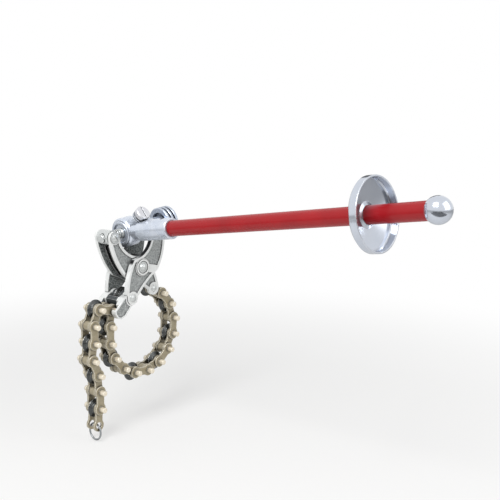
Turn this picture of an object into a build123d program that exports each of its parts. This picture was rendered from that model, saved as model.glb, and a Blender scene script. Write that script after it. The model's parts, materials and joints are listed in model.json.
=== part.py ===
from build123d import *
import os
from math import sin, cos, asin, atan2, degrees, radians, pi

# Soil pipe cutter: two crossed jaws drawn together by a ratchet-driven feed screw,
# and a chain of cutting wheels that wraps the pipe and hangs on a hook.
# Millimetres. Origin on the pipe's axis in the plane of the chain,
# +X along the pipe towards the handle, +Y to the back, +Z up.

# The pipe that the chain closes on, and the lean of the whole tool towards the front.
PIPE_R = 54.6
LEAN = 7.2

# Chain and cutting wheels. Distances named X are half widths from the chain's middle plane.
WHEEL_R = 15.0
WHEEL_HUB_R = 8.6
WHEEL_EDGE = 0.35
PITCH = 27.0
PIN_R = 4.0
PIN_X = 23.5
SLEEVE_R = 5.5
ROLLER_R = 8.0
PLATE_T = 3.0
PLATE_END_R = 9.5
PLATE_WAIST = 6.6
INNER_X = 6.5
PLATE_GAP = 0.2
FIT = 0.05
SIDE_PLAY = 0.2
LOOP_LINKS = 12
# Headings of the links past the loop, in degrees from +Y towards +Z.
TAIL_HEADINGS = [78.0, 170.5, 246.0, 270.0, 262.5, 292.0, 275.0, 268.5, 266.0]
RING_R = 13.0
RING_WIRE_R = 1.5
RING_HOLE_R = 5.2
RING_RISE = 1.6

# Jaws: both have one outline, mirrored about the leaning middle line.
LOWER_PIN_ANGLE = 22.8
PIVOT_UP = 107.9
TOP_UP = 163.4
TOP_OUT = 40.9
FRONT_BOSS_R = 10.0
REAR_BOSS_R = 13.0
LOW_BOSS_R = 10.5
HORN = (-15.0, 15.0)
INNER_SHOULDER = (27.5, -11.4)
OUTER_SHOULDER = (31.0, -11.4)
CORNER_R = 4.0
ARM_NECK = 9.9
BELLY = 5.0
BACK_BELLY = 7.0
CROTCH = 9.3
UNDERCUT = 2.2
RIM = 4.2
POCKET = 1.4
SADDLE_W = 13.0
OUTER_IN_X = 19.5
OUTER_T = 8.0
INNER_OUT_X = 18.0
CHEEK_T = 5.5
WEB_T = 5.0
RIB_T = 2.4
RIB_X = 3.6
RIB_INSET = 4.5
RIB_FOOT = 12.0
NUT_ROOM = 2.5
WHEEL_ROOM = 1.2
PIVOT_R = 6.5
PIVOT_HUB_R = 16.0
PIVOT_RING_R = 12.5
PIVOT_RING_W = 2.4
PIVOT_RING_H = 1.6
PIVOT_FLANGE_R = 9.0
PIVOT_FLANGE_T = 1.2
PIVOT_DOME_R = 6.4
PIVOT_DOME_H = 4.0
HOOK_PIN_R = 5.0
RIVET_LIP = 1.6
RIVET_H = 2.8

# Hook that catches a chain pin.
KNUCKLE_R = 10.0
PRONG_IN_X = 17.5
PRONG_CAP_X = 23.9
PRONG_OUT_X = 26.8
PRONG_RIM = 2.4
PRONG_POCKET = 0.9
NOTCH_PLAY = 0.45
HOOK_WEB_R = 16.8
HOOK_WEB_T = 4.5
BOSS_PLAY = 0.8
SIDE_GAP = 0.3
# Prong's outline from the caught pin: (towards the hook's own pin, towards the notch's mouth).
PRONG_BACK = [(19.0, 11.0), (-6.5, 5.0), (-8.6, 1.0), (-8.2, -8.0), (-4.0, -12.5), (5.8, -14.5), (22.4, -9.6)]

# Feed screw and what it carries. Z here is measured along the screw, towards the front.
SCREW_R = 8.0
NUT_R = 11.5
NUT_X = 12.3
TRUNNION_R = 14.0
TRUNNION_X = 19.2
TRUNNION_HUB_R = 10.5
TRUNNION_HUB_BACK = 35.0
FRONT_SCREW_R = 5.0
REAR_SCREW_R = 6.0
SCREW_HEAD_R = 8.5
SCREW_FLANGE_T = 1.2
SCREW_DOME_R = 6.2
SCREW_DOME_H = 2.6
SCREW_SEAT = 3.3
REAR_SCREW_SEAT = 7.7
SLOT_W = 1.6
SLOT_DEPTH = 1.3
SHOULDER_R = 11.0
SHOULDER_T = 6.7
SCREW_NOSE = 2.2
COLLAR_R = 24.0
COLLAR_GROOVE_R = 17.5
COLLAR_RECESS_R = 16.5
COLLAR_RECESS = 6.0
COLLAR_RIBS = 3
COLLAR_RIB_T = 4.8
COLLAR_GROOVE_W = 3.3
COLLAR_PIN_R = 2.0

# Ratchet head.
GEAR_TEETH = 16
GEAR_TIP_R = 17.0
GEAR_ROOT_R = 13.8
GEAR_T = 15.4
CAVITY_R = 18.0
CAVITY_PLAY = 0.3
HOUSING_R = 23.5
HOUSING_T = 26.0
HOUSING_HUB_R = 14.0
COVER_R = 19.5
COVER_STANDS = 2.0
COVER_RECESS_R = 15.5
COVER_RECESS = 3.0
PAWL_ANGLE = 38.0
PAWL_R = 5.0
PAWL_LIFT = 0.3
PAWL_H = 7.0
STEM_R = 2.5
CHAMBER_TOP = 40.0
TOWER_R = 9.5
TOWER_TOP = 46.6
TOWER_RING_R = 11.4
TOWER_RING_T = 2.0
KNOB_R = 11.5
KNOB_LIFT = 6.0
KNOB_T = 9.0
KNOB_GAP = 0.4
KNOB_SLOT_TURN = 87.0
SPRING_TURNS = 5
SPRING_WIRE_R = 0.6

# Handle, measured along its own axis from the screw.
HANDLE_RISE = 7.55
NECK_R = 13.5
SOCKET_R = 16.3
SOCKET_START = 36.0
SOCKET_END = 105.0
SOCKET_FLOOR = 46.0
SOCKET_CHAMFER = 1.2
TUBE_R = 12.0
TUBE_WALL = 2.4
SET_SCREW_DISTANCE = 88.0
SET_SCREW_R = 4.0
GUARD_DISTANCE = 468.0
GUARD_R = 48.0
GUARD_DEPTH = 12.4
GUARD_T = 2.2
GUARD_DISH = 6.0
GUARD_HUB_R = 16.0
GUARD_HUB_L = 18.0
BALL_DISTANCE = 548.0
BALL_R = 17.0
TUBE_IN_BALL = 4.0

# Points of the jaws in the leaning frame: (across, up).
CHAIN_R = PIPE_R + WHEEL_R
LOOP_STEP = degrees(2 * asin(PITCH / 2 / CHAIN_R))
LOW_OUT = CHAIN_R * sin(radians(LOWER_PIN_ANGLE))
LOW_UP = CHAIN_R * cos(radians(LOWER_PIN_ANGLE))
PIVOT = (0.0, PIVOT_UP)
TOP = (TOP_OUT, TOP_UP)
LOW = (-LOW_OUT, LOW_UP)
OUTER_X = INNER_X + PLATE_T + PLATE_GAP
OUTER_OUT_X = OUTER_IN_X + OUTER_T
CHEEK_IN_X = INNER_OUT_X - CHEEK_T
HOOK_CHEEK_X = OUTER_X + PLATE_T + 0.5


def leaning(across, up):
    """Real place, as (Y, Z), of a point given in the tool's leaning frame."""
    lean = radians(LEAN)
    return (across * cos(lean) - up * sin(lean), across * sin(lean) + up * cos(lean))


def side_plane(x, lean=LEAN):
    """Plane across the pipe at the station x, with its own X along the tool's width."""
    return Plane(origin=(x, 0, 0), x_dir=(0, cos(radians(lean)), sin(radians(lean))), z_dir=(1, 0, 0))


def slab(sketch, x0, x1, lean=LEAN):
    """A flat piece between two stations along the pipe."""
    return extrude(side_plane(x0, lean) * sketch, amount=x1 - x0)


def both_sides(shape):
    return shape + mirror(shape, Plane.YZ)


def disc_at(point, radius):
    return Pos(point[0], point[1]) * Circle(radius)


def turned(profile, place=(0.0, 0.0)):
    """A turned piece on an axis along the pipe, from (x, radius) points."""
    face = make_face(Polyline(*profile, close=True))
    return Pos(0, place[0], place[1]) * revolve(face, Axis.X)


def spun(profile):
    """A turned piece on its own Z axis, from (z, radius) points."""
    face = make_face(Polyline(*[(r, 0, z) for z, r in profile], close=True))
    return revolve(face, Axis.Z)


def bowed(start, end, rise):
    """An arc from start to end that bulges by rise to the left of its way."""
    dx, dy = end[0] - start[0], end[1] - start[1]
    length = (dx * dx + dy * dy) ** 0.5
    middle = ((start[0] + end[0]) / 2 - dy / length * rise, (start[1] + end[1]) / 2 + dx / length * rise)
    return ThreePointArc(start, middle, end)


PIVOT_YZ = leaning(*PIVOT)
HOOK_YZ = leaning(*LOW)
ANCHOR_YZ = leaning(LOW_OUT, LOW_UP)
FRONT_TOP_YZ = leaning(-TOP_OUT, TOP_UP)
REAR_TOP_YZ = leaning(*TOP)

# The screw's frame: own Z along the screw towards the front, own X along the pipe, own Y up.
FEED_YZ = leaning(0.0, TOP_UP)
FORWARD = Vector(0, -cos(radians(LEAN)), -sin(radians(LEAN)))
UPWARD = Vector(0, -sin(radians(LEAN)), cos(radians(LEAN)))
FEED = Plane(origin=(0, *FEED_YZ), x_dir=(1, 0, 0), z_dir=FORWARD)


def radial_plane(angle):
    """Frame on the screw's axis whose own Z points out at an angle above the pipe's direction."""
    out = Vector(1, 0, 0) * cos(radians(angle)) + UPWARD * sin(radians(angle))
    return Plane(origin=FEED.origin, x_dir=FORWARD, z_dir=out)


HANDLE = radial_plane(HANDLE_RISE)
PAWL = radial_plane(PAWL_ANGLE)


def placed(frame, shape):
    return frame.location * shape


def jaw_outline(boss_r, shoulder_from, belly):
    """Outline of a jaw in the outer jaw's hand: top boss at the back, low boss at the front."""
    horn = (PIVOT[0] + HORN[0], PIVOT[1] + HORN[1])
    neck = (TOP[0] - boss_r, TOP[1] - ARM_NECK)
    boss_in = (TOP[0] - boss_r, TOP[1])
    boss_out = (TOP[0] + boss_r, TOP[1])
    shoulder = (PIVOT[0] + shoulder_from[0], PIVOT[1] + shoulder_from[1])
    low_in = (LOW[0] + LOW_BOSS_R, LOW[1])
    low_out = (LOW[0] - LOW_BOSS_R, LOW[1])
    edges = [
        bowed(horn, neck, -CROTCH),
        Line(neck, boss_in),
        ThreePointArc(boss_in, (TOP[0], TOP[1] + boss_r), boss_out),
        bowed(boss_out, shoulder, belly),
        bowed(shoulder, low_in, -UNDERCUT),
        ThreePointArc(low_in, (LOW[0], LOW[1] - LOW_BOSS_R), low_out),
        bowed(low_out, horn, BELLY),
    ]
    face = make_face(edges)
    corners = [v for v in face.vertices() if near(v, horn) or near(v, shoulder) or near(v, neck)]
    return make_face(fillet(corners, CORNER_R).edges())


def near(vertex, point):
    return abs(vertex.X - point[0]) < 0.01 and abs(vertex.Y - point[1]) < 0.01


OUTER_OUTLINE = jaw_outline(REAR_BOSS_R, OUTER_SHOULDER, BACK_BELLY)
INNER_OUTLINE = mirror(jaw_outline(FRONT_BOSS_R, INNER_SHOULDER, BELLY), Plane.YZ)


def lowered_panels(outline, boss_r, shoulder_from):
    """The two lowered panels inside a jaw's raised rim, in the inner jaw's hand."""
    along = degrees(atan2(shoulder_from[1], -shoulder_from[0]))
    length = 2 * (shoulder_from[0] ** 2 + shoulder_from[1] ** 2) ** 0.5
    saddle = Pos(*PIVOT) * Rot(0, 0, along) * Pos(length / 2, 0) * Rectangle(length, SADDLE_W)
    panel = offset(outline, amount=-RIM) - disc_at(PIVOT, PIVOT_RING_R + 2) - saddle
    return panel - disc_at((LOW_OUT, LOW_UP), LOW_BOSS_R) - disc_at((-TOP_OUT, TOP_UP), boss_r + 1)


INNER_PANELS = lowered_panels(INNER_OUTLINE, FRONT_BOSS_R, INNER_SHOULDER)
OUTER_PANELS = mirror(lowered_panels(mirror(OUTER_OUTLINE, Plane.YZ), REAR_BOSS_R, OUTER_SHOULDER), Plane.YZ)


def outer_jaw_plate():
    """Near plate of the outer jaw, with a raised rim and a round ring at the pivot."""
    plate = slab(OUTER_OUTLINE, OUTER_IN_X, OUTER_OUT_X)
    plate -= slab(OUTER_PANELS, OUTER_OUT_X - POCKET, OUTER_OUT_X + 1)
    ring = disc_at(PIVOT, PIVOT_RING_R) - disc_at(PIVOT, PIVOT_RING_R - PIVOT_RING_W)
    plate += slab(ring, OUTER_OUT_X - 1, OUTER_OUT_X + PIVOT_RING_H)
    holes = disc_at(PIVOT, PIVOT_R) + disc_at(LOW, HOOK_PIN_R) + disc_at(TOP, REAR_SCREW_R)
    return plate - slab(holes, OUTER_IN_X - 1, OUTER_OUT_X + 1)


def crotch_disc(extra):
    """Disc on the centre of the inner jaw's hollow edge, reaching past that edge by extra."""
    horn = (-HORN[0], PIVOT[1] + HORN[1])
    neck = (FRONT_BOSS_R - TOP_OUT, TOP_UP - ARM_NECK)
    dx, dy = neck[0] - horn[0], neck[1] - horn[1]
    chord = (dx * dx + dy * dy) ** 0.5
    radius = (chord * chord / 4 + CROTCH * CROTCH) / (2 * CROTCH)
    back = (radius - CROTCH) / chord
    centre = ((horn[0] + neck[0]) / 2 + dy * back, (horn[1] + neck[1]) / 2 - dx * back)
    return disc_at(centre, radius + extra)


def inner_jaw():
    """One casting: two cheeks joined by a web, with two ribs along the channel and the pivot's hub."""
    low = (LOW_OUT, LOW_UP)
    top = (-TOP_OUT, TOP_UP)
    cheek = slab(INNER_OUTLINE, CHEEK_IN_X, INNER_OUT_X)
    cheek -= slab(INNER_PANELS, INNER_OUT_X - POCKET, INNER_OUT_X + 1)
    cheek += slab(disc_at(PIVOT, PIVOT_HUB_R), CHEEK_IN_X, INNER_OUT_X)
    cheek += slab(disc_at(low, LOW_BOSS_R - 1), OUTER_X + FIT * 4, CHEEK_IN_X + 1)
    room = disc_at(top, NUT_R + NUT_ROOM) + disc_at(low, WHEEL_R + WHEEL_ROOM)
    arm = Pos(0, (TOP_UP + PIVOT_UP) / 2) * Rectangle(4 * TOP_OUT, TOP_UP - PIVOT_UP + 2 * RIB_FOOT)
    set_back = INNER_OUTLINE & (Pos(RIB_INSET, 0) * INNER_OUTLINE)
    rib = slab((set_back & arm) - room, RIB_X, RIB_X + RIB_T)
    jaw = both_sides(cheek + rib)
    web = (INNER_OUTLINE & crotch_disc(WEB_T)) + disc_at(PIVOT, PIVOT_HUB_R)
    jaw += slab(web - room, -CHEEK_IN_X - 0.5, CHEEK_IN_X + 0.5)
    bores = disc_at(PIVOT, PIVOT_R + FIT) + disc_at(low, PIN_R) + disc_at(top, FRONT_SCREW_R)
    return jaw - slab(bores, -INNER_OUT_X - 1, INNER_OUT_X + 1)


def dome(base_x, radius, height):
    """A low spherical cap on an axis along the pipe, its flat side at base_x."""
    ball_r = (radius * radius + height * height) / (2 * height)
    half = asin(radius / ball_r) / 2
    centre = base_x + height - ball_r
    middle = (centre + ball_r * cos(half), ball_r * sin(half))
    crown = ThreePointArc((base_x, radius), middle, (base_x + height, 0))
    face = make_face([Line((base_x, 0), (base_x, radius)), crown, Line((base_x + height, 0), (base_x, 0))])
    return revolve(face, Axis.X)


def headed_pin(radius, reach, flange, cap, place):
    """A pin across the tool with a flange and a domed head at each end."""
    flange_r, flange_t = flange
    rod = turned([(-reach, 0), (-reach, radius), (reach, radius), (reach, 0)])
    head = dome(reach + flange_t, *cap)
    if flange_t > 0:
        head += turned([(reach, 0), (reach, flange_r), (reach + flange_t, flange_r), (reach + flange_t, 0)])
    return Pos(0, place[0], place[1]) * (rod + both_sides(head))


def pivot_pin():
    flange = (PIVOT_FLANGE_R, PIVOT_FLANGE_T)
    return headed_pin(PIVOT_R, OUTER_OUT_X, flange, (PIVOT_DOME_R, PIVOT_DOME_H), PIVOT_YZ)


def riveted_pin(radius, reach, place):
    return headed_pin(radius, reach, (0, 0), (radius + RIVET_LIP, RIVET_H), place)


def pivot_washers():
    """One thin washer on each side, between the inner jaw's cheek and the outer jaw's plate."""
    ring = [(INNER_OUT_X + FIT, PIVOT_R + FIT), (INNER_OUT_X + FIT, PIVOT_HUB_R - 1),
            (OUTER_IN_X - FIT, PIVOT_HUB_R - 1), (OUTER_IN_X - FIT, PIVOT_R + FIT)]
    near_side = turned(ring, PIVOT_YZ)
    return Compound(children=[near_side, mirror(near_side, Plane.YZ)])


def slotted_screw(radius, tip_x, face_x, place):
    """A short trunnion screw with a flanged, domed and slotted head on the jaw's outer face."""
    crown_x = face_x + SCREW_FLANGE_T
    profile = [(tip_x, 0), (tip_x, radius - 0.8), (tip_x + 0.8, radius), (face_x, radius),
               (face_x, SCREW_HEAD_R), (crown_x, SCREW_HEAD_R), (crown_x, 0)]
    screw = Pos(0, place[0], place[1]) * (turned(profile) + dome(crown_x, SCREW_DOME_R, SCREW_DOME_H))
    slot_box = Box(2 * SLOT_DEPTH, SLOT_W, 3 * SCREW_DOME_R)
    screw -= Pos(crown_x + SCREW_DOME_H, place[0], place[1]) * Rot(35, 0, 0) * slot_box
    return Compound(children=[screw, mirror(screw, Plane.YZ)])


def chain_hook():
    """Two knuckles on the hook pin, a bridge before the wheel, and two prongs that pocket the chain's pin."""
    caught = CHAIN_POINTS[LOOP_LINKS + 1]
    dy, dz = HOOK_YZ[0] - caught[0], HOOK_YZ[1] - caught[1]
    swing = (dy * dy + dz * dz) ** 0.5
    inward = (dy / swing, dz / swing)

    def spot(along, across):
        forward = caught[0] + inward[0] * along - inward[1] * across
        return (forward, caught[1] + inward[1] * along + inward[0] * across)

    hub_edge = KNUCKLE_R * 0.94
    corners = [spot(swing - KNUCKLE_R * 0.35, hub_edge)] + [spot(*point) for point in PRONG_BACK]
    corners += [spot(swing - KNUCKLE_R * 0.35, -hub_edge), HOOK_YZ]
    outline = make_face(Polyline(*corners, close=True))
    notch_r = PIN_R + NOTCH_PLAY
    track = disc_at(HOOK_YZ, swing + notch_r) - disc_at(HOOK_YZ, swing - notch_r)
    open_side = [HOOK_YZ, spot(-swing, 0), spot(-swing, 2 * swing), spot(swing, 2 * swing)]
    mouth = make_face(Polyline(*open_side, close=True))
    notch = (track & mouth) + disc_at(caught, notch_r)
    boss_room = LOW_BOSS_R + BOSS_PLAY
    beside = Pos(HOOK_YZ[0] - boss_room / 2, HOOK_YZ[1] + boss_room / 2) * Rectangle(boss_room, boss_room)
    bar = outline - disc_at(HOOK_YZ, boss_room) - beside
    prong = slab(bar - notch, PRONG_IN_X, PRONG_CAP_X, 0) + slab(bar, PRONG_CAP_X, PRONG_OUT_X, 0)
    prong -= slab(offset(bar, amount=-PRONG_RIM), PRONG_OUT_X - PRONG_POCKET, PRONG_OUT_X + 1, 0)
    knuckle = slab(disc_at(HOOK_YZ, KNUCKLE_R), INNER_X + SIDE_GAP, OUTER_IN_X - SIDE_GAP, 0)
    reach = disc_at(HOOK_YZ, HOOK_WEB_R + HOOK_WEB_T)
    arm = slab(outline & reach, HOOK_CHEEK_X, OUTER_IN_X - SIDE_GAP, 0)
    bridge = slab((reach - disc_at(HOOK_YZ, HOOK_WEB_R)) & outline, -PRONG_IN_X, PRONG_IN_X, 0)
    link = slab(outline & disc_at(HOOK_YZ, swing - PLATE_END_R) - notch, PRONG_IN_X, OUTER_IN_X - SIDE_GAP, 0)
    hook = both_sides(prong + knuckle + arm + link) + bridge
    return hook - slab(disc_at(HOOK_YZ, HOOK_PIN_R + FIT), -PRONG_OUT_X, PRONG_OUT_X, 0)


def chain_points():
    """Joint centres of the chain as (Y, Z): round the pipe, over the hook and down."""
    start = LOWER_PIN_ANGLE - LEAN
    points = []
    for step in range(LOOP_LINKS + 1):
        turn = radians(start + LOOP_STEP * step)
        points.append((CHAIN_R * sin(turn), CHAIN_R * cos(turn)))
    for heading in TAIL_HEADINGS:
        y, z = points[-1]
        points.append((y + PITCH * cos(radians(heading)), z + PITCH * sin(radians(heading))))
    return points


CHAIN_POINTS = chain_points()


def link_plate(hole_start, hole_end):
    """Side plate of a link: two round ends, a slimmer waist, two holes."""
    ends = Circle(PLATE_END_R) + Pos(PITCH, 0) * Circle(PLATE_END_R)
    waist = Pos(PITCH / 2, 0) * Rectangle(PITCH, 2 * PLATE_WAIST)
    outline = ends + waist
    inside = [v for v in outline.vertices() if abs(abs(v.Y) - PLATE_WAIST) < 0.01]
    outline = fillet(inside, 5.0)
    return outline - Circle(hole_start) - Pos(PITCH, 0) * Circle(hole_end)


def ring_solid(inner, outer, reach, along):
    """A sleeve across the chain at a distance along the link."""
    return Pos(along, 0, -reach) * extrude(Circle(outer) - Circle(inner), amount=2 * reach)


def link_frame(index):
    """Frame of a link: own X from its first joint to its second, own Z along the pipe."""
    (y0, z0), (y1, z1) = CHAIN_POINTS[index - 1], CHAIN_POINTS[index]
    return Plane(origin=(0, y0, z0), x_dir=(0, y1 - y0, z1 - z0), z_dir=(1, 0, 0))


def inner_link(index):
    """Two plates on a sleeve, which carries a wheel, and on a roller."""
    last = index == len(CHAIN_POINTS) - 1
    far_hole = RING_HOLE_R if last else PIN_R + FIT
    plate = Pos(0, 0, INNER_X) * extrude(link_plate(PIN_R + FIT, far_hole), amount=PLATE_T)
    solids = [plate, mirror(plate, Plane.XY), ring_solid(PIN_R + FIT, SLEEVE_R, INNER_X, 0)]
    if not last:
        solids.append(ring_solid(PIN_R + FIT, ROLLER_R, INNER_X, PITCH))
    return placed(link_frame(index), Compound(children=solids))


def outer_link(index):
    """Two plates riveted on two long pins, whose ends stand out for the hook to catch."""
    plate = Pos(0, 0, OUTER_X) * extrude(link_plate(PIN_R, PIN_R), amount=PLATE_T)
    pin = chamfer(Cylinder(PIN_R, 2 * PIN_X).edges().filter_by(GeomType.CIRCLE), 0.6)
    solids = [plate, mirror(plate, Plane.XY), pin, Pos(PITCH, 0, 0) * pin]
    return placed(link_frame(index), Compound(children=solids))


def cutter_wheel(place, bore):
    """Cutting wheel: a hub with a face bevelled on both sides to a sharp edge."""
    half_hub = INNER_X - SIDE_PLAY
    shoulder_r = WHEEL_HUB_R + 1.2
    half = [(half_hub, bore), (half_hub, WHEEL_HUB_R), (half_hub * 0.5, shoulder_r), (WHEEL_EDGE, WHEEL_R)]
    return turned([(-x, r) for x, r in reversed(half)] + half, place)


def chain_ring():
    """Wire ring in the last link's end."""
    y, z = CHAIN_POINTS[-1]
    drop = RING_R - RING_RISE
    wire = Torus(RING_R, RING_WIRE_R)
    return Pos(0, y, z - drop) * Rot(90, 0, 0) * wire


def front_nut():
    """Trunnion nut between the inner jaw's cheeks: a cross barrel that the feed screw runs through."""
    barrel = Rot(0, 90, 0) * Cylinder(NUT_R, 2 * NUT_X)
    nut = placed(FEED, Pos(0, 0, TOP_OUT) * (barrel - Cylinder(SCREW_R + FIT, 4 * NUT_R)))
    return nut - both_sides(screw_seat(NUT_X - SCREW_SEAT - SIDE_GAP, NUT_X + 1, FRONT_SCREW_R + FIT, FRONT_TOP_YZ))


def screw_seat(floor_x, mouth_x, radius, place):
    return turned([(floor_x, 0), (floor_x, radius), (mouth_x, radius), (mouth_x, 0)], place)


def rear_trunnion():
    """Cross barrel between the outer jaw's plates, with the sleeve that carries the feed screw."""
    barrel = Rot(0, 90, 0) * Cylinder(TRUNNION_R, 2 * TRUNNION_X)
    sleeve = extrude(Circle(TRUNNION_HUB_R), amount=TRUNNION_HUB_BACK + TRUNNION_R)
    body = barrel + Pos(0, 0, -TRUNNION_HUB_BACK) * sleeve - Cylinder(SCREW_R + FIT, 3 * TRUNNION_HUB_BACK)
    seat = screw_seat(TRUNNION_X - REAR_SCREW_SEAT - SIDE_GAP, TRUNNION_X + 1, REAR_SCREW_R + FIT, REAR_TOP_YZ)
    return placed(FEED, Pos(0, 0, -TOP_OUT) * body) - both_sides(seat)


SHOULDER_BACK = -TOP_OUT + TRUNNION_R + 0.1
SHOULDER_FRONT = SHOULDER_BACK + SHOULDER_T
COLLAR_FLOOR = -TOP_OUT - TRUNNION_HUB_BACK - 0.1
COLLAR_FRONT = COLLAR_FLOOR + COLLAR_RECESS
COLLAR_BACK = COLLAR_FRONT - COLLAR_RIBS * COLLAR_RIB_T - (COLLAR_RIBS - 1) * COLLAR_GROOVE_W


def feed_screw():
    """Feed screw with its thrust shoulder; the thread's form is left plain."""
    nose = TOP_OUT + NUT_R + SCREW_NOSE
    profile = [
        (nose, 0), (nose, SCREW_R - 1.5), (nose - 1.5, SCREW_R), (SHOULDER_FRONT, SCREW_R),
        (SHOULDER_FRONT, SHOULDER_R), (SHOULDER_BACK, SHOULDER_R), (SHOULDER_BACK, SCREW_R),
        (COLLAR_BACK - 1.0, SCREW_R), (COLLAR_BACK - 2.5, SCREW_R - 1.5), (COLLAR_BACK - 2.5, 0),
    ]
    pin_hole = Pos(0, 0, collar_pin_z()) * Rot(90, 0, 0) * Cylinder(COLLAR_PIN_R, 4 * SCREW_R)
    return placed(FEED, spun(profile) - pin_hole)


def collar_pin_z():
    """The cross pin lies in the collar's last groove."""
    return COLLAR_BACK + COLLAR_RIB_T + COLLAR_GROOVE_W / 2


def thrust_collar():
    """Ribbed collar behind the rear trunnion, pinned to the screw; it takes the screw's pull."""
    profile = [(COLLAR_FLOOR, SCREW_R), (COLLAR_FLOOR, COLLAR_RECESS_R - 1), (COLLAR_FRONT, COLLAR_RECESS_R),
               (COLLAR_FRONT, COLLAR_R - 1)]
    z = COLLAR_FRONT
    for number in range(COLLAR_RIBS):
        profile += [(z - 1, COLLAR_R), (z - COLLAR_RIB_T + 1, COLLAR_R), (z - COLLAR_RIB_T, COLLAR_R - 1)]
        z -= COLLAR_RIB_T
        if number < COLLAR_RIBS - 1:
            profile += [(z, COLLAR_GROOVE_R), (z - COLLAR_GROOVE_W, COLLAR_GROOVE_R)]
            z -= COLLAR_GROOVE_W
            profile += [(z, COLLAR_R - 1)]
    profile.append((z, SCREW_R))
    pin_hole = Pos(0, 0, collar_pin_z()) * Rot(90, 0, 0) * Cylinder(COLLAR_PIN_R, 4 * COLLAR_R)
    return placed(FEED, spun(profile) - pin_hole)


def collar_pin():
    pin = Cylinder(COLLAR_PIN_R, 2 * COLLAR_GROOVE_R - 0.4)
    return placed(FEED, Pos(0, 0, collar_pin_z()) * Rot(90, 0, 0) * pin)


def ratchet_gear():
    """Toothed wheel pressed on the feed screw; the teeth are alike on both flanks."""
    points = []
    step = 2 * pi / GEAR_TEETH
    for tooth in range(GEAR_TEETH):
        middle = tooth * step
        for radius, turn in ((GEAR_ROOT_R, -0.34), (GEAR_TIP_R, -0.2), (GEAR_TIP_R, 0.2), (GEAR_ROOT_R, 0.34)):
            points.append((radius * cos(middle + turn * step), radius * sin(middle + turn * step)))
    teeth = make_face(Polyline(*points, close=True)) - Circle(SCREW_R)
    return placed(FEED, Pos(0, 0, -GEAR_T / 2) * extrude(teeth, amount=GEAR_T))


HOUSING_FRONT = HOUSING_T / 2
CAVITY_Z = GEAR_T / 2 + CAVITY_PLAY


def ratchet_housing():
    """Round housing over the gear, with the handle's socket and the pawl's tower."""
    back_hub = SHOULDER_FRONT + 0.1
    drum = spun([
        (HOUSING_FRONT, 0), (HOUSING_FRONT, HOUSING_R - 2.5), (HOUSING_FRONT - 2.5, HOUSING_R),
        (-HOUSING_FRONT + 3, HOUSING_R), (-HOUSING_FRONT, HOUSING_R - 3), (-HOUSING_FRONT, HOUSING_HUB_R),
        (back_hub, HOUSING_HUB_R - 1), (back_hub, 0),
    ])
    socket = Pos(0, 0, SOCKET_START) * extrude(Circle(SOCKET_R), amount=SOCKET_END - SOCKET_START)
    socket = chamfer(socket.edges().filter_by(GeomType.CIRCLE), SOCKET_CHAMFER)
    socket += extrude(Circle(NECK_R), amount=SOCKET_FLOOR)
    tower = extrude(Circle(TOWER_R), amount=TOWER_TOP)
    body = placed(FEED, drum) + placed(HANDLE, socket) + placed(PAWL, tower)
    for ring in range(2):
        lift = TOWER_TOP - 1.0 - TOWER_RING_T - ring * (TOWER_RING_T + 1.5)
        body += placed(PAWL, Pos(0, 0, lift) * extrude(Circle(TOWER_RING_R), amount=TOWER_RING_T))
    inside = spun([
        (-CAVITY_Z, 0), (-CAVITY_Z, CAVITY_R), (CAVITY_Z, CAVITY_R), (CAVITY_Z, COVER_R),
        (NECK_R + 2, COVER_R), (NECK_R + 2, 0),
    ])
    body -= placed(FEED, inside)
    body -= placed(FEED, Cylinder(SCREW_R + FIT, 4 * HOUSING_T))
    body -= placed(HANDLE, Pos(0, 0, SOCKET_FLOOR) * extrude(Circle(TUBE_R), amount=SOCKET_END))
    chamber = extrude(Circle(PAWL_R + FIT), amount=CHAMBER_TOP - GEAR_ROOT_R)
    body -= placed(PAWL, Pos(0, 0, GEAR_ROOT_R) * chamber)
    body -= placed(PAWL, extrude(Circle(STEM_R + FIT), amount=TOWER_TOP + 1))
    knob_room = extrude(Circle(KNOB_R + 2 * KNOB_GAP), amount=KNOB_T + 2 * KNOB_LIFT)
    body -= placed(PAWL, Pos(0, 0, TOWER_TOP) * knob_room)
    return body - placed(HANDLE, set_screw_hole())


def set_screw_hole():
    return Pos(0, 0, SET_SCREW_DISTANCE) * Rot(90, 0, 0) * extrude(Circle(SET_SCREW_R), amount=SOCKET_R + 1)


def ratchet_cover():
    """Threaded cover that closes the gear's side, dished round the screw."""
    face_z = HOUSING_FRONT + COVER_STANDS
    profile = [
        (CAVITY_Z, SCREW_R + FIT), (CAVITY_Z, COVER_R), (face_z - 1, COVER_R), (face_z, COVER_R - 1),
        (face_z, COVER_RECESS_R), (face_z - COVER_RECESS, COVER_RECESS_R - 1), (face_z - COVER_RECESS, SCREW_R + FIT),
    ]
    return placed(FEED, spun(profile))


PAWL_FOOT = GEAR_TIP_R + PAWL_LIFT
PAWL_TOP = PAWL_FOOT + PAWL_H


def ratchet_pawl():
    """Plunger with one steep and one sloping flank, and the stem that the knob is fixed on."""
    flank = make_face(Polyline((-2.2, PAWL_FOOT), (1.0, PAWL_FOOT), (PAWL_R, PAWL_FOOT + 4.5), (PAWL_R, PAWL_TOP),
                               (-PAWL_R, PAWL_TOP), (-PAWL_R, PAWL_FOOT + 2.5), (-2.2, PAWL_FOOT + 2.5), close=True))
    wedge = extrude(Plane.YZ * flank, amount=PAWL_R, both=True)
    head = wedge & (Pos(0, 0, PAWL_FOOT) * extrude(Circle(PAWL_R), amount=PAWL_H))
    knob_floor = TOWER_TOP + KNOB_GAP
    stem = Pos(0, 0, PAWL_TOP) * extrude(Circle(STEM_R), amount=knob_floor + KNOB_T * 0.6 - PAWL_TOP)
    return placed(PAWL, head + stem)


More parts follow.
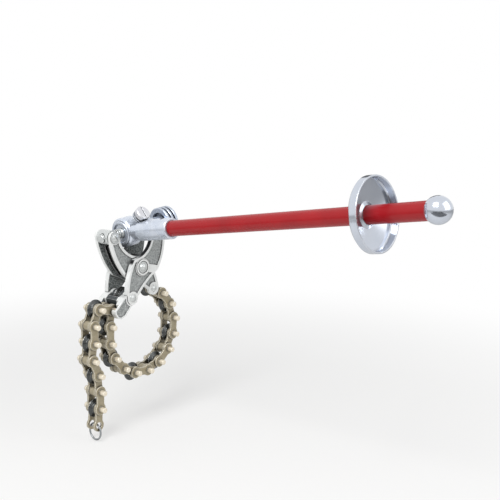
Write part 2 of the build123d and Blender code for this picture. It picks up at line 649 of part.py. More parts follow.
def pawl_spring():
    """Compression spring between the pawl's head and the tower's roof."""
    lift = PAWL_TOP + SPRING_WIRE_R
    height = CHAMBER_TOP - PAWL_TOP - 2 * SPRING_WIRE_R
    radius = (STEM_R + PAWL_R) / 2
    path = Pos(0, 0, lift) * Helix(height / SPRING_TURNS, height, radius)
    section = Plane(origin=path @ 0, z_dir=path % 0) * Circle(SPRING_WIRE_R)
    return placed(PAWL, sweep(section, path, is_frenet=True))


def pawl_knob():
    """Round pull-and-turn knob with one slot across its face."""
    floor_z = TOWER_TOP + KNOB_GAP
    roof_z = floor_z + KNOB_T
    knob = spun([(floor_z, 0), (floor_z, KNOB_R - 1.5), (floor_z + 1.5, KNOB_R), (roof_z - 1.5, KNOB_R),
                 (roof_z, KNOB_R - 1.5), (roof_z, 0)])
    knob -= Pos(0, 0, floor_z - 1) * extrude(Circle(STEM_R), amount=KNOB_T * 0.6 + 1)
    slot = Pos(0, 0, roof_z) * Rot(0, 0, KNOB_SLOT_TURN) * Box(3 * KNOB_R, SLOT_W, 2.4)
    return placed(PAWL, knob - slot)


def handle_tube():
    wall = Circle(TUBE_R) - Circle(TUBE_R - TUBE_WALL)
    tube = extrude(wall, amount=BALL_DISTANCE + TUBE_IN_BALL - SOCKET_FLOOR)
    return placed(HANDLE, Pos(0, 0, SOCKET_FLOOR) * tube)


def handle_set_screw():
    """Grub screw under the socket, with a hexagon socket."""
    body = extrude(Circle(SET_SCREW_R), amount=SOCKET_R - TUBE_R - 0.3)
    body -= Pos(0, 0, 1.5) * extrude(RegularPolygon(SET_SCREW_R * 0.55, 6), amount=SOCKET_R)
    return placed(HANDLE, Pos(0, 0, SET_SCREW_DISTANCE) * Rot(90, 0, 0) * Pos(0, 0, TUBE_R) * body)


def hand_guard():
    """Round dish on the tube, open towards the hand, with a short hub on the head's side."""
    lip, back = GUARD_DISTANCE, GUARD_DISTANCE - GUARD_DEPTH
    hub_start = back - GUARD_DISH
    profile = [
        (lip, GUARD_R), (back + 2.5, GUARD_R), (back, GUARD_R - 2.5), (hub_start, GUARD_HUB_R + 1),
        (hub_start - GUARD_HUB_L + GUARD_DISH, GUARD_HUB_R), (hub_start - GUARD_HUB_L + GUARD_DISH, TUBE_R),
        (hub_start + GUARD_T + 2, TUBE_R), (hub_start + GUARD_T, GUARD_HUB_R + 1),
        (back + GUARD_T, GUARD_R - 3.5), (back + GUARD_T + 2, GUARD_R - GUARD_T), (lip, GUARD_R - GUARD_T),
    ]
    return placed(HANDLE, spun(profile))


def ball_knob():
    ball = Sphere(BALL_R) - Pos(0, 0, -BALL_R) * extrude(Circle(TUBE_R), amount=BALL_R + TUBE_IN_BALL)
    return placed(HANDLE, Pos(0, 0, BALL_DISTANCE) * ball)


def all_parts():
    front_screws = slotted_screw(FRONT_SCREW_R, NUT_X - SCREW_SEAT, INNER_OUT_X, FRONT_TOP_YZ)
    rear_screws = slotted_screw(REAR_SCREW_R, TRUNNION_X - REAR_SCREW_SEAT, OUTER_OUT_X, REAR_TOP_YZ)
    parts = {
        "outer_jaw_near_plate": outer_jaw_plate(),
        "outer_jaw_far_plate": mirror(outer_jaw_plate(), Plane.YZ),
        "inner_jaw": inner_jaw(),
        "jaw_pivot_pin": pivot_pin(),
        "jaw_pivot_washers": pivot_washers(),
        "hook_pin": riveted_pin(HOOK_PIN_R, OUTER_OUT_X, HOOK_YZ),
        "chain_hook": chain_hook(),
        "chain_anchor_pin": riveted_pin(PIN_R, INNER_OUT_X, ANCHOR_YZ),
        "front_trunnion_nut": front_nut(),
        "front_trunnion_screws": front_screws,
        "rear_trunnion": rear_trunnion(),
        "rear_trunnion_screws": rear_screws,
        "feed_screw": feed_screw(),
        "thrust_collar": thrust_collar(),
        "thrust_collar_pin": collar_pin(),
        "ratchet_gear": ratchet_gear(),
        "ratchet_housing": ratchet_housing(),
        "ratchet_cover": ratchet_cover(),
        "ratchet_pawl": ratchet_pawl(),
        "pawl_spring": pawl_spring(),
        "pawl_knob": pawl_knob(),
        "handle_tube": handle_tube(),
        "handle_set_screw": handle_set_screw(),
        "hand_guard": hand_guard(),
        "handle_ball": ball_knob(),
        "chain_end_ring": chain_ring(),
        "cutter_wheel_hook": cutter_wheel(HOOK_YZ, HOOK_PIN_R + FIT),
    }
    for index in range(1, len(CHAIN_POINTS)):
        link = inner_link(index) if index % 2 else outer_link(index)
        parts[f"chain_link_{index:02d}"] = link
        if index % 2:
            wheel = cutter_wheel(CHAIN_POINTS[index - 1], SLEEVE_R + FIT)
            parts[f"cutter_wheel_{(index + 1) // 2:02d}"] = wheel
    return parts


os.makedirs("parts", exist_ok=True)
for name, shape in all_parts().items():
    export_step(shape, f"parts/{name}.step")
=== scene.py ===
import bpy
import bmesh
import json
from math import sin, cos, pi, radians
from mathutils import Matrix, Vector


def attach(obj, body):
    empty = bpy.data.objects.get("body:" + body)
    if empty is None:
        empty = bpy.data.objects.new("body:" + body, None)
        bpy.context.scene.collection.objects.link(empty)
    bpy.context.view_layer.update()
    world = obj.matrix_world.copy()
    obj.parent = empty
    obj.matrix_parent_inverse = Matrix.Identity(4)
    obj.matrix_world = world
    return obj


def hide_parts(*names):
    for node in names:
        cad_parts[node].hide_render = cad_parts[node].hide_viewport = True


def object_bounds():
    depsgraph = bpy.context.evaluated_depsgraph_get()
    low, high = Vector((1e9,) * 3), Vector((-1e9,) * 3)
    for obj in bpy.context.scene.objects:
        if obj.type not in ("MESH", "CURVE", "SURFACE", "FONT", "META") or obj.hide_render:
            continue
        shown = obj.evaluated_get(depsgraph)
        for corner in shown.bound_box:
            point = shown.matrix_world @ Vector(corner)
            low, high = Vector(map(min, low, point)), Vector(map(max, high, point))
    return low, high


# Soil pipe cutter. The frame brings every solid in its place, in metres; sizes here are in millimetres.
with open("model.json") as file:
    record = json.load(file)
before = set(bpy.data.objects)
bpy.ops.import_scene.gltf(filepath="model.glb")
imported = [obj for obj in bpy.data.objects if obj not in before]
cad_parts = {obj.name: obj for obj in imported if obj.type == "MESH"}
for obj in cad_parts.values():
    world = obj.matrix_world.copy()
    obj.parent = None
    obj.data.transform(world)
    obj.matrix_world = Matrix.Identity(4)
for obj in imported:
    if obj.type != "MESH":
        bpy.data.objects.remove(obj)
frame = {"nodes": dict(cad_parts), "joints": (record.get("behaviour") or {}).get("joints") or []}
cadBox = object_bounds()
scene = bpy.context.scene
mm = 0.001

# Camera at the photograph's place, a little above the handle and off the pipe's end.
view = {"place": (0.9732, -0.8683, 0.3226), "turn": 40.25, "dip": 8.43, "roll": 0.31, "lens": 58.35}


def makeCamera():
    turn, dip, roll = radians(view["turn"]), radians(view["dip"]), radians(view["roll"])
    ahead = Vector((-sin(turn) * cos(dip), cos(turn) * cos(dip), -sin(dip)))
    right = Vector((cos(turn), sin(turn), 0.0))
    above = right.cross(ahead)
    right, above = cos(roll) * right + sin(roll) * above, cos(roll) * above - sin(roll) * right
    camera = bpy.data.objects.new("camera", bpy.data.cameras.new("camera"))
    camera.data.lens = view["lens"]
    camera.data.sensor_width = 36.0
    camera.data.clip_start = 0.01
    camera.matrix_world = Matrix((right, above, -ahead)).transposed().to_4x4()
    camera.location = view["place"]
    scene.collection.objects.link(camera)
    scene.camera = camera


makeCamera()
print("camera set")


# Materials


def linearColour(code):
    channels = [int(code[i:i + 2], 16) / 255 for i in (1, 3, 5)]
    return [c / 12.92 if c <= 0.04045 else ((c + 0.055) / 1.055) ** 2.4 for c in channels] + [1.0]


def addNode(tree, kind, settings=None, values=None, links=None):
    node = tree.nodes.new(kind)
    for name, value in (settings or {}).items():
        setattr(node, name, value)
    for name, value in (values or {}).items():
        node.inputs[name].default_value = value
    for name, source in (links or {}).items():
        tree.links.new(source, node.inputs[name])
    return node


def blankMaterial(name):
    material = bpy.data.materials.new(name)
    material.use_nodes = True
    tree = material.node_tree
    tree.nodes.clear()
    shader = addNode(tree, "ShaderNodeBsdfPrincipled")
    addNode(tree, "ShaderNodeOutputMaterial", links={"Surface": shader.outputs["BSDF"]})
    return material, tree, shader


mixFactor, mixFirst, mixSecond, mixResult = 0, 6, 7, 2  # sockets of a colour mix


def surfaceDetail(tree, look):
    # What every metal here shares: cloudy tone, fine grain, softened corners, edges brightened by wear and a painted
    # highlight, and painted shade in corners and gaps.
    place = addNode(tree, "ShaderNodeTexCoord").outputs["Object"]
    cloud = addNode(tree, "ShaderNodeTexNoise", values={"Scale": 1 / (look["cloud"] * mm), "Detail": 3.0},
                    links={"Vector": place})
    grain = addNode(tree, "ShaderNodeTexNoise", values={"Scale": 1 / (look["grain"] * mm), "Detail": 4.0},
                    links={"Vector": place})
    corner = addNode(tree, "ShaderNodeBevel", {"samples": 6}, {"Radius": look["corner"] * mm})
    plain = addNode(tree, "ShaderNodeNewGeometry")
    facing = addNode(tree, "ShaderNodeVectorMath", {"operation": "DOT_PRODUCT"},
                     links={0: corner.outputs["Normal"], 1: plain.outputs["Normal"]})
    # Worn edges with a painted highlight: where the softened normal turns from the true one, the edge is brightened.
    edge = addNode(tree, "ShaderNodeMapRange", values={"From Min": 0.995, "From Max": 0.9, "To Max": look["edgeWearAndHighlightAmount"]},
                   links={"Value": facing.outputs["Value"]})
    # Painted shade: ambient occlusion finds corners and gaps, and the map below sets how far they take the dark corner
    # colour.
    hollow = addNode(tree, "ShaderNodeAmbientOcclusion", {"samples": 8}, {"Distance": look["hollow"] * mm})
    cornerShade = addNode(tree, "ShaderNodeMapRange", values={"From Min": look["cornerShadeFrom"], "From Max": look["cornerShadeFrom"] - 0.45,
                                                           "To Max": look["cornerShade"]},
                     links={"Value": hollow.outputs["AO"]})
    bump = addNode(tree, "ShaderNodeBump", values={"Strength": 1.0, "Distance": look["bump"] * mm},
                   links={"Height": grain.outputs["Fac"], "Normal": corner.outputs["Normal"]})
    return {"place": place, "cloud": cloud.outputs["Fac"], "grain": grain.outputs["Fac"],
            "edge": edge.outputs["Result"], "cornerShade": cornerShade.outputs["Result"], "bump": bump.outputs["Normal"],
            "normal": plain.outputs["Normal"]}


def metalFinish(name, look):
    material, tree, shader = blankMaterial(name)
    detail = surfaceDetail(tree, look)
    tone = addNode(tree, "ShaderNodeMix", {"data_type": "RGBA"},
                   {mixFirst: linearColour(look["colour"]), mixSecond: linearColour(look["second"])},
                   {mixFactor: detail["cloud"]})
    if "pinFrom" in look:  # pins past the outer plates, turned and left brighter than them
        along = addNode(tree, "ShaderNodeSeparateXYZ", links={"Vector": detail["place"]})
        reach = addNode(tree, "ShaderNodeMath", {"operation": "ABSOLUTE"}, links={0: along.outputs["X"]})
        beyond = addNode(tree, "ShaderNodeMapRange", values={"From Min": look["pinFrom"] * mm,
                                                             "From Max": (look["pinFrom"] + 0.6) * mm},
                         links={"Value": reach.outputs["Value"]})
        tone = addNode(tree, "ShaderNodeMix", {"data_type": "RGBA"}, {mixSecond: linearColour(look["pin"])},
                       {mixFactor: beyond.outputs["Result"], mixFirst: tone.outputs[mixResult]})
    # Edges brightened: wear and a painted highlight.
    edgeWearAndHighlight = addNode(tree, "ShaderNodeMix", {"data_type": "RGBA"}, {mixSecond: linearColour(look["edgeWearAndHighlight"])},
                     {mixFactor: detail["edge"], mixFirst: tone.outputs[mixResult]})
    # Painted shade in corners and gaps.
    cornerShaded = addNode(tree, "ShaderNodeMix", {"data_type": "RGBA"}, {mixSecond: linearColour(look["cornerShadeColour"])},
                     {mixFactor: detail["cornerShade"], mixFirst: edgeWearAndHighlight.outputs[mixResult]})
    tree.links.new(cornerShaded.outputs[mixResult], shader.inputs["Base Color"])
    rough = addNode(tree, "ShaderNodeMapRange", values={"To Min": look["rough"][0], "To Max": look["rough"][1]},
                    links={"Value": detail["cloud"]})
    tree.links.new(rough.outputs["Result"], shader.inputs["Roughness"])
    shader.inputs["Metallic"].default_value = look["metallic"]
    tree.links.new(detail["bump"], shader.inputs["Normal"])
    return material


def jawFinish(name, look):
    # Malleable iron casting: faces as cast and grained, rims ground and plated bright; painted shade darkens the
    # channel between the cheeks and the upper crotch faces.
    material, tree, shader = blankMaterial(name)
    detail = surfaceDetail(tree, look)
    along = addNode(tree, "ShaderNodeSeparateXYZ", links={"Vector": detail["place"]})
    reach = addNode(tree, "ShaderNodeMath", {"operation": "ABSOLUTE"}, links={0: along.outputs["X"]})
    facing = addNode(tree, "ShaderNodeSeparateXYZ", links={"Vector": detail["normal"]})
    flatness = addNode(tree, "ShaderNodeMath", {"operation": "ABSOLUTE"}, links={0: facing.outputs["X"]})
    face = addNode(tree, "ShaderNodeMapRange", values={"From Min": 0.7, "From Max": 0.95},
                   links={"Value": flatness.outputs["Value"]})
    low = addNode(tree, "ShaderNodeMapRange", values={"From Min": look["rimFrom"] * mm,
                                                      "From Max": (look["rimFrom"] - 0.25) * mm},
                  links={"Value": reach.outputs["Value"]})
    panel = addNode(tree, "ShaderNodeMath", {"operation": "MULTIPLY"},
                    links={0: face.outputs["Result"], 1: low.outputs["Result"]})
    # Painted shade: faces inside the cheeks, in the channel.
    inside = addNode(tree, "ShaderNodeMapRange", values={"From Min": (look["inside"] + 0.1) * mm,
                                                         "From Max": (look["inside"] - 0.1) * mm},
                     links={"Value": reach.outputs["Value"]})
    # Painted shade: faces above a height that turn one way in Y, into the crotch under the ratchet head.
    height = addNode(tree, "ShaderNodeMapRange", values={"From Min": look["crotchShadeFrom"] * mm,
                                                         "From Max": (look["crotchShadeFrom"] + 3) * mm},
                     links={"Value": along.outputs["Z"]})
    turnedIn = addNode(tree, "ShaderNodeMapRange", values={"From Min": look["crotchShadeSide"] * 0.15,
                                                           "From Max": look["crotchShadeSide"] * 0.5},
                       links={"Value": facing.outputs["Y"]})
    crotchShade = addNode(tree, "ShaderNodeMath", {"operation": "MULTIPLY"},
                    links={0: height.outputs["Result"], 1: turnedIn.outputs["Result"]})
    contrast = addNode(tree, "ShaderNodeMapRange", values={"From Min": 0.38, "From Max": 0.62},
                       links={"Value": detail["grain"]})
    castTone = addNode(tree, "ShaderNodeMix", {"data_type": "RGBA"},
                       {mixFirst: linearColour(look["cast"]), mixSecond: linearColour(look["castDark"])},
                       {mixFactor: contrast.outputs["Result"]})
    bright = addNode(tree, "ShaderNodeMix", {"data_type": "RGBA"},
                     {mixFirst: linearColour(look["colour"]), mixSecond: linearColour(look["second"])},
                     {mixFactor: detail["cloud"]})
    zones = addNode(tree, "ShaderNodeMix", {"data_type": "RGBA"}, links={
        mixFactor: panel.outputs["Value"], mixFirst: bright.outputs[mixResult], mixSecond: castTone.outputs[mixResult]})
    # Both painted shades together, which take the channel colour below and the higher roughness.
    recessShade = addNode(tree, "ShaderNodeMath", {"operation": "MAXIMUM"},
                       links={0: inside.outputs["Result"], 1: crotchShade.outputs["Value"]})
    dark = addNode(tree, "ShaderNodeMix", {"data_type": "RGBA"}, {mixSecond: linearColour(look["channel"])},
                   {mixFactor: recessShade.outputs["Value"], mixFirst: zones.outputs[mixResult]})
    # Edges brightened: wear and a painted highlight.
    edgeWearAndHighlight = addNode(tree, "ShaderNodeMix", {"data_type": "RGBA"}, {mixSecond: linearColour(look["edgeWearAndHighlight"])},
                     {mixFactor: detail["edge"], mixFirst: dark.outputs[mixResult]})
    # Painted shade in corners and gaps.
    cornerShaded = addNode(tree, "ShaderNodeMix", {"data_type": "RGBA"}, {mixSecond: linearColour(look["cornerShadeColour"])},
                     {mixFactor: detail["cornerShade"], mixFirst: edgeWearAndHighlight.outputs[mixResult]})
    tree.links.new(cornerShaded.outputs[mixResult], shader.inputs["Base Color"])
    raw = addNode(tree, "ShaderNodeMath", {"operation": "MAXIMUM"},
                  links={0: panel.outputs["Value"], 1: recessShade.outputs["Value"]})
    rough = addNode(tree, "ShaderNodeMapRange", values={"To Min": look["rough"][0], "To Max": look["rough"][1]},
                    links={"Value": raw.outputs["Value"]})
    tree.links.new(rough.outputs["Result"], shader.inputs["Roughness"])
    shader.inputs["Metallic"].default_value = look["metallic"]
    tree.links.new(detail["bump"], shader.inputs["Normal"])
    return material


# In every look, the dark colour and amount for corners are painted shade; the bright colour and amount for edges are
# wear with a painted highlight.
outerJawLook = {
    "colour": "#fafbfa", "second": "#e2e5e4", "cast": "#a2a7a6", "castDark": "#4d5253", "channel": "#1b1c1e",
    "edgeWearAndHighlight": "#ffffff", "cornerShadeColour": "#0c0d0e", "rimFrom": 26.3, "inside": 19.4, "rough": (0.28, 0.55),
    "metallic": 0.2, "cloud": 9.0, "grain": 2.4, "corner": 0.8, "edgeWearAndHighlightAmount": 0.7, "hollow": 3.2, "cornerShade": 1.0,
    "bump": 0.3, "cornerShadeFrom": 0.93, "crotchShadeFrom": 112.0, "crotchShadeSide": -1.0}
innerJawLook = dict(outerJawLook, rimFrom=16.8, inside=12.4, channel="#101112", crotchShadeSide=1.0)
hookLook = dict(outerJawLook, rimFrom=26.1, inside=12.4, channel="#44484a", crotchShadeFrom=200.0)

zincPlate = {  # bright zinc plate on turned steel: blue-white, soft sheen
    "colour": "#e4e9f2", "second": "#c0cadb", "edgeWearAndHighlight": "#fafcff", "cornerShadeColour": "#1c2130", "rough": (0.22, 0.32),
    "metallic": 0.6, "cloud": 16.0, "grain": 0.8, "corner": 1.0, "edgeWearAndHighlightAmount": 0.8, "hollow": 5.0, "cornerShade": 0.9,
    "bump": 0.012, "cornerShadeFrom": 0.85}
knobPlate = dict(zincPlate, colour="#e2e2e6", second="#c9cad0", rough=(0.3, 0.42))
collarPlate = dict(zincPlate, colour="#c9d1de", second="#9aa5b8", hollow=6.0)
chainSteel = {  # tempered link steel with a thin yellow passivation: khaki sides, cream edges from wear and a painted highlight, brown painted shade in the corners
    "colour": "#b9af97", "second": "#8e846b", "edgeWearAndHighlight": "#fdf8ea", "cornerShadeColour": "#140e07", "rough": (0.24, 0.38),
    "metallic": 0.3, "cloud": 5.0, "grain": 0.9, "corner": 1.5, "edgeWearAndHighlightAmount": 1.0, "hollow": 7.0, "cornerShade": 1.0,
    "bump": 0.03, "cornerShadeFrom": 0.88, "pinFrom": 12.8, "pin": "#f4ead6"}
pinSteel = dict(chainSteel, colour="#efe3d2", second="#d3c4ad", hollow=1.5, corner=0.5, cornerShade=0.5)
wheelSteel = {  # hardened and ground tool steel, painted dark as the shade between the jaw plates, with wear and a painted glint on the bevel's edge
    "colour": "#5e605f", "second": "#3f4142", "edgeWearAndHighlight": "#e9ebea", "cornerShadeColour": "#0b0b0c", "rough": (0.22, 0.32),
    "metallic": 0.75, "cloud": 6.0, "grain": 0.6, "corner": 0.5, "edgeWearAndHighlightAmount": 1.0, "hollow": 6.0, "cornerShade": 0.95,
    "bump": 0.02, "cornerShadeFrom": 0.85}
rivetSteel = dict(wheelSteel, colour="#e6e9e8", second="#b8bcbc", hollow=2.0, metallic=0.5, edgeWearAndHighlightAmount=0.6)
wireSteel = dict(wheelSteel, colour="#a9adb0", second="#8f9396")
darkSteel = dict(wheelSteel, colour="#4a4d50", second="#3b3e41", edgeWearAndHighlight="#8b8f92", rough=(0.4, 0.55))
guardChrome = {  # pressed steel dish, chromium plated and buffed
    "colour": "#d3d8e1", "second": "#bfc6d2", "edgeWearAndHighlight": "#f4f6fa", "cornerShadeColour": "#242832", "rough": (0.12, 0.2),
    "metallic": 0.85, "cloud": 45.0, "grain": 1.0, "corner": 1.2, "edgeWearAndHighlightAmount": 0.7, "hollow": 7.0, "cornerShade": 0.8,
    "bump": 0.004, "cornerShadeFrom": 0.85}


def enamelFinish(name, look):
    # Stoved enamel on steel tube: deep gloss with a faint orange peel.
    material, tree, shader = blankMaterial(name)
    place = addNode(tree, "ShaderNodeTexCoord").outputs["Object"]
    cloud = addNode(tree, "ShaderNodeTexNoise", values={"Scale": 1 / (look["cloud"] * mm), "Detail": 2.0},
                    links={"Vector": place})
    peel = addNode(tree, "ShaderNodeTexNoise", values={"Scale": 1 / (look["peel"] * mm), "Detail": 1.0},
                   links={"Vector": place})
    tone = addNode(tree, "ShaderNodeMix", {"data_type": "RGBA"},
                   {mixFirst: linearColour(look["colour"]), mixSecond: linearColour(look["second"])},
                   {mixFactor: cloud.outputs["Fac"]})
    tree.links.new(tone.outputs[mixResult], shader.inputs["Base Color"])
    bump = addNode(tree, "ShaderNodeBump", values={"Strength": 1.0, "Distance": look["bump"] * mm},
                   links={"Height": peel.outputs["Fac"]})
    tree.links.new(bump.outputs["Normal"], shader.inputs["Normal"])
    shader.inputs["Roughness"].default_value = look["rough"]
    shader.inputs["Specular IOR Level"].default_value = 0.35
    shader.inputs["Coat Weight"].default_value = 0.15
    shader.inputs["Coat Roughness"].default_value = 0.06
    return material


redEnamel = {"colour": "#ab0916", "second": "#8f0610", "rough": 0.36, "cloud": 40.0, "peel": 2.5, "bump": 0.01}

finishes = {
    "castOuterJaw": jawFinish("castIronOuterJaw", outerJawLook),
    "castInnerJaw": jawFinish("castIronInnerJaw", innerJawLook),
    "castHook": jawFinish("castIronHook", hookLook),
    "zinc": metalFinish("zincPlatedSteel", zincPlate),
    "knob": metalFinish("zincPlatedKnob", knobPlate),
    "collar": metalFinish("zincPlatedCollar", collarPlate),
    "chain": metalFinish("passivatedChainSteel", chainSteel),
    "wheel": metalFinish("groundWheelSteel", wheelSteel),
    "pin": metalFinish("turnedChainPin", pinSteel),
    "rivet": metalFinish("brightRivetSteel", rivetSteel),
    "wire": metalFinish("drawnWire", wireSteel),
    "dark": metalFinish("hardenedDarkSteel", darkSteel),
    "chrome": metalFinish("buffedChrome", guardChrome),
    "enamel": enamelFinish("stovedRedEnamel", redEnamel),
}
nodeFinish = {
    "outer_jaw_near_plate": "castOuterJaw", "outer_jaw_far_plate": "castOuterJaw", "inner_jaw": "castInnerJaw",
    "chain_hook": "castHook", "jaw_pivot_pin": "rivet", "jaw_pivot_washers": "rivet", "hook_pin": "rivet",
    "chain_anchor_pin": "rivet", "front_trunnion_nut": "rivet", "front_trunnion_screws": "rivet",
    "rear_trunnion": "collar", "rear_trunnion_screws": "rivet", "feed_screw": "wheel", "thrust_collar": "collar",
    "thrust_collar_pin": "dark", "ratchet_gear": "dark", "ratchet_housing": "zinc", "ratchet_cover": "zinc",
    "ratchet_pawl": "dark", "pawl_spring": "wire", "pawl_knob": "knob", "handle_tube": "enamel",
    "handle_set_screw": "dark", "hand_guard": "chrome", "handle_ball": "chrome", "chain_end_ring": "wire"}
for name, node in frame["nodes"].items():
    finish = nodeFinish.get(name) or ("chain" if name.startswith("chain_link") else "wheel")
    node.data.materials.clear()
    node.data.materials.append(finishes[finish])
print("materials:", len(finishes))


# New pieces. The feed screw's axis: own Z towards the front, out of the screw's middle over the pivot.


def alongScrew():
    lean = radians(screwLook["lean"])
    forward = Vector((0, -cos(lean), -sin(lean)))
    upward = Vector((0, -sin(lean), cos(lean)))
    place = Matrix((upward.cross(forward), upward, forward)).transposed().to_4x4()
    place.translation = upward * screwLook["height"] * mm
    return place


def lathe(name, profile, segments, place):
    # A closed turned piece from (z, radius) points in millimetres, whose first and last points lie on its axis.
    shape = bmesh.new()
    rings = []
    for z, r in profile[1:-1]:
        rings.append([shape.verts.new((r * cos(2 * pi * i / segments) * mm, r * sin(2 * pi * i / segments) * mm, z * mm))
                      for i in range(segments)])
    poles = [shape.verts.new((0, 0, profile[i][0] * mm)) for i in (0, -1)]
    for i in range(segments):
        after = (i + 1) % segments
        shape.faces.new((poles[0], rings[0][after], rings[0][i]))
        shape.faces.new((poles[1], rings[-1][i], rings[-1][after]))
        for lower, upper in zip(rings, rings[1:]):
            shape.faces.new((lower[i], lower[after], upper[after], upper[i]))
    bmesh.ops.recalc_face_normals(shape, faces=shape.faces)
    mesh = bpy.data.meshes.new(name)
    shape.to_mesh(mesh)
    shape.free()
    mesh.transform(place)
    mesh.shade_smooth()
    mesh.set_sharp_from_angle(angle=radians(35))
    piece = bpy.data.objects.new(name, mesh)
    scene.collection.objects.link(piece)
    return piece


def openTree(name, inputs):
    tree = bpy.data.node_groups.new(name, "GeometryNodeTree")
    tree.interface.new_socket("Points", in_out="INPUT", socket_type="NodeSocketGeometry")
    names = {}
    for label, kind in inputs.items():
        names[label] = tree.interface.new_socket(label, in_out="INPUT", socket_type=kind).identifier
    tree.interface.new_socket("Mesh", in_out="OUTPUT", socket_type="NodeSocketGeometry")
    return tree, names, addNode(tree, "NodeGroupInput").outputs


def closeTree(tree, shape, finish):
    real = addNode(tree, "GeometryNodeRealizeInstances", links={"Geometry": shape})
    painted = addNode(tree, "GeometryNodeSetMaterial", links={"Geometry": real.outputs["Geometry"], "Material": finish})
    addNode(tree, "NodeGroupOutput", links={"Mesh": painted.outputs["Geometry"]})


def grow(name, points, kit, values):
    tree, names = kit
    mesh = bpy.data.meshes.new(name)
    mesh.from_pydata(points, [], [])
    piece = bpy.data.objects.new(name, mesh)
    scene.collection.objects.link(piece)
    modifier = piece.modifiers.new("grown", "NODES")
    modifier.node_group = tree
    for label, value in values.items():
        modifier[names[label]] = value
    grown = bpy.data.meshes.new_from_object(piece.evaluated_get(bpy.context.evaluated_depsgraph_get()))
    piece.modifiers.clear()
    piece.data = grown
    grown.name = name
    return piece


screwLook = {"lean": 7.2, "height": 163.4, "core": 6.5, "crest": 8.0, "pitch": 3.6, "threadFrom": 15.6,
             "nose": 54.6, "back": -93.0, "shoulder": (-26.8, -20.1, 11.0)}


def threadTree():
    # A helix swept with the thread's section; the section stands on the core and reaches the crest.
    tree, names, given = openTree("feedThread", {
        "Radius": "NodeSocketFloat", "Pitch": "NodeSocketFloat", "Length": "NodeSocketFloat",
        "Section": "NodeSocketFloat", "Finish": "NodeSocketMaterial"})
    turns = addNode(tree, "ShaderNodeMath", {"operation": "DIVIDE"}, links={0: given["Length"], 1: given["Pitch"]})
    helix = addNode(tree, "GeometryNodeCurveSpiral", values={"Resolution": 40}, links={
        "Rotations": turns.outputs["Value"], "Start Radius": given["Radius"], "End Radius": given["Radius"],
        "Height": given["Length"]})
    section = addNode(tree, "GeometryNodeCurvePrimitiveCircle", values={"Resolution": 6},
                      links={"Radius": given["Section"]})
    swept = addNode(tree, "GeometryNodeCurveToMesh", values={"Fill Caps": True}, links={
        "Curve": helix.outputs["Curve"], "Profile Curve": section.outputs["Curve"]})
    closeTree(tree, swept.outputs["Mesh"], given["Finish"])
    return tree, names


def makeFeedScrew():
    look = screwLook
    place = alongScrew()
    back, nose, core = look["back"], look["nose"], look["core"]
    shoulderBack, shoulderFront, shoulderR = look["shoulder"]
    body = lathe("feedScrewBody", [
        (back, 0), (back, look["crest"] - 1.5), (back + 1.5, look["crest"]), (shoulderBack, look["crest"]),
        (shoulderBack, shoulderR), (shoulderFront, shoulderR), (shoulderFront, look["crest"]),
        (look["threadFrom"] - 1.5, look["crest"]), (look["threadFrom"], core), (nose - 1.0, core),
        (nose, core - 1.0), (nose, 0)], 64, place)
    section = (look["crest"] - core) / 2 + 0.25
    thread = grow("feedScrewThread", [(0, 0, 0)], threadTree(), {
        "Radius": (look["crest"] - section) * mm, "Pitch": look["pitch"] * mm,
        "Length": (nose - look["threadFrom"] - 3 * section) * mm, "Section": section * mm,
        "Finish": finishes["rivet"]})
    thread.data.transform(place @ Matrix.Translation((0, 0, (look["threadFrom"] + section) * mm)))
    body.data.materials.append(finishes["rivet"])
    for piece in (body, thread):
        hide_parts("feed_screw")
        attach(piece, "feed_screw")


pinLook = {"radius": 4.35, "thickness": 1.1, "crown": 3.3, "reach": 23.75}


def pinEndTree():
    # The upset end of a chain pin: a thin collar and a flatter crown, one at each point, turned outwards.
    tree, names, given = openTree("upsetPinEnds", {
        "Radius": "NodeSocketFloat", "Crown": "NodeSocketFloat", "Thickness": "NodeSocketFloat",
        "Finish": "NodeSocketMaterial"})
    button = addNode(tree, "GeometryNodeMeshCone", values={"Vertices": 28}, links={
        "Radius Top": given["Crown"], "Radius Bottom": given["Radius"], "Depth": given["Thickness"]})
    place = addNode(tree, "GeometryNodeInputPosition")
    apart = addNode(tree, "ShaderNodeSeparateXYZ", links={"Vector": place.outputs["Position"]})
    side = addNode(tree, "ShaderNodeMath", {"operation": "SIGN"}, links={0: apart.outputs["X"]})
    turn = addNode(tree, "ShaderNodeMath", {"operation": "MULTIPLY"}, {1: pi / 2}, {0: side.outputs["Value"]})
    angle = addNode(tree, "ShaderNodeCombineXYZ", links={"Y": turn.outputs["Value"]})
    ends = addNode(tree, "GeometryNodeInstanceOnPoints", links={
        "Points": given["Points"], "Instance": button.outputs["Mesh"], "Rotation": angle.outputs["Vector"]})
    closeTree(tree, ends.outputs["Instances"], given["Finish"])
    return tree, names


def makePinEnds():
    look = pinLook
    kit = pinEndTree()
    for number in range(2, 21, 2):
        body = "link_%02d" % number
        joints = [j for j in frame["joints"] if j["child"] in (body, "link_%02d" % (number + 1))]
        starts = [Vector(j["pos_m"]) for j in joints if j["name"].startswith("chain_joint")]
        points = [(side * (look["reach"] - look["thickness"]) * mm, p.y, p.z) for p in starts for side in (-1, 1)]
        ends = grow("chainPinEnds%02d" % number, points, kit, {
            "Radius": look["radius"] * mm, "Crown": look["crown"] * mm, "Thickness": look["thickness"] * mm,
            "Finish": finishes["pin"]})
        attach(ends, body)


makeFeedScrew()
makePinEnds()


# Stage: pale floor under the hanging chain's ring, soft boxes, and dark cards that only polished metal sees.
floorZ = cadBox[0].z - 0.0005
stageLook = {"floor": "#f6f6f5", "world": "#ffffff", "worldLight": 0.42, "shadowTo": 0.3, "whiteFrom": 1.3}


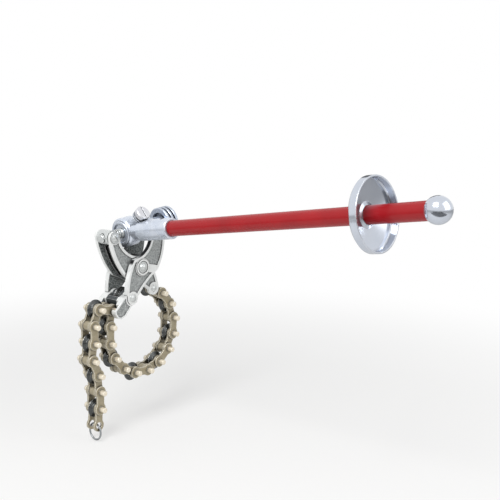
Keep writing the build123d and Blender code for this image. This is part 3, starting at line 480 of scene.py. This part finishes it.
def plane(name, centre, across, upward, width, height, material):
    right, above = Vector(across).normalized() * width / 2, Vector(upward).normalized() * height / 2
    corners = [Vector(centre) + a * right + b * above for a, b in ((-1, -1), (1, -1), (1, 1), (-1, 1))]
    mesh = bpy.data.meshes.new(name)
    mesh.from_pydata([tuple(c) for c in corners], [], [(0, 1, 2, 3)])
    mesh.materials.append(material)
    card = bpy.data.objects.new(name, mesh)
    scene.collection.objects.link(card)
    return card


def floorFinish():
    # Pale paper: it takes the object's shadow near by, and runs out to plain white where only the camera sees it.
    material, tree, shader = blankMaterial("paleFloor")
    shader.inputs["Base Color"].default_value = linearColour(stageLook["floor"])
    shader.inputs["Roughness"].default_value = 0.9
    place = addNode(tree, "ShaderNodeTexCoord").outputs["Object"]
    away = addNode(tree, "ShaderNodeVectorMath", {"operation": "LENGTH"}, links={0: place})
    fade = addNode(tree, "ShaderNodeMapRange", {"interpolation_type": "SMOOTHSTEP"},
                   {"From Min": stageLook["shadowTo"], "From Max": stageLook["whiteFrom"], "To Min": 0.5},
                   {"Value": away.outputs["Value"]})
    path = addNode(tree, "ShaderNodeLightPath")
    seen = addNode(tree, "ShaderNodeMath", {"operation": "MULTIPLY"},
                   links={0: fade.outputs["Result"], 1: path.outputs["Is Camera Ray"]})
    paper = addNode(tree, "ShaderNodeEmission", values={"Color": linearColour("#ffffff"), "Strength": 1.0})
    both = addNode(tree, "ShaderNodeMixShader", links={
        0: seen.outputs["Value"], 1: shader.outputs["BSDF"], 2: paper.outputs["Emission"]})
    tree.links.new(both.outputs["Shader"], tree.nodes["Material Output"].inputs["Surface"])
    return material


def darkCard(name, centre, across, upward, width, height):
    # Black flag beside the lamps: only polished metal mirrors it.
    material, tree, shader = blankMaterial(name)
    shader.inputs["Base Color"].default_value = linearColour("#1c1e22")
    card = plane(name, centre, across, upward, width, height, material)
    card.visible_camera = card.visible_diffuse = card.visible_shadow = card.visible_transmission = False


def softBox(name, place, aim, width, height, power):
    lamp = bpy.data.lights.new(name, "AREA")
    lamp.shape, lamp.size, lamp.size_y, lamp.energy = "RECTANGLE", width, height, power
    box = bpy.data.objects.new(name, lamp)
    box.location = place
    box.rotation_mode = "QUATERNION"
    box.rotation_quaternion = (Vector(place) - Vector(aim)).to_track_quat("Z", "Y")
    scene.collection.objects.link(box)
    return box


def makeStage():
    plane("floor", (0, 0, floorZ), (1, 0, 0), (0, 1, 0), 40.0, 40.0, floorFinish())
    world = bpy.data.worlds.new("studio")
    world.use_nodes = True
    tree = world.node_tree
    tree.nodes.clear()
    path = addNode(tree, "ShaderNodeLightPath")
    seen = addNode(tree, "ShaderNodeMath", {"operation": "ADD", "use_clamp": True},
                   links={0: path.outputs["Is Camera Ray"], 1: path.outputs["Is Glossy Ray"]})
    shown = addNode(tree, "ShaderNodeMath", {"operation": "ADD", "use_clamp": True},
                    links={0: seen.outputs["Value"], 1: path.outputs["Is Transmission Ray"]})
    level = addNode(tree, "ShaderNodeMapRange", values={"To Min": stageLook["worldLight"], "To Max": 1.0},
                    links={"Value": shown.outputs["Value"]})
    sky = addNode(tree, "ShaderNodeBackground", values={"Color": linearColour(stageLook["world"])},
                  links={"Strength": level.outputs["Result"]})
    addNode(tree, "ShaderNodeOutputWorld", links={"Surface": sky.outputs["Background"]})
    scene.world = world
    softBox("keySoftBox", (0.5, -1.1, 1.3), (0.1, 0.0, 0.1), 0.8, 0.8, 19.0)
    softBox("fillSoftBox", (1.6, 0.3, 0.9), (0.1, 0.0, 0.1), 1.2, 1.2, 6.0)
    darkCard("lowFlag", (0.9, -1.3, -0.05), (0.76, 0.65, 0), (0, 0, 1), 2.2, 0.22)
    darkCard("floorFlag", (0.75, -0.9, floorZ + 0.002), (0.76, 0.65, 0), (-0.65, 0.76, 0), 2.4, 0.9)
    darkCard("backFlag", (-0.6, 1.6, 0.5), (0.8, 0.6, 0), (0, 0, 1), 0.7, 1.6)


makeStage()
scene.view_settings.view_transform = "Standard"
print("stage set")
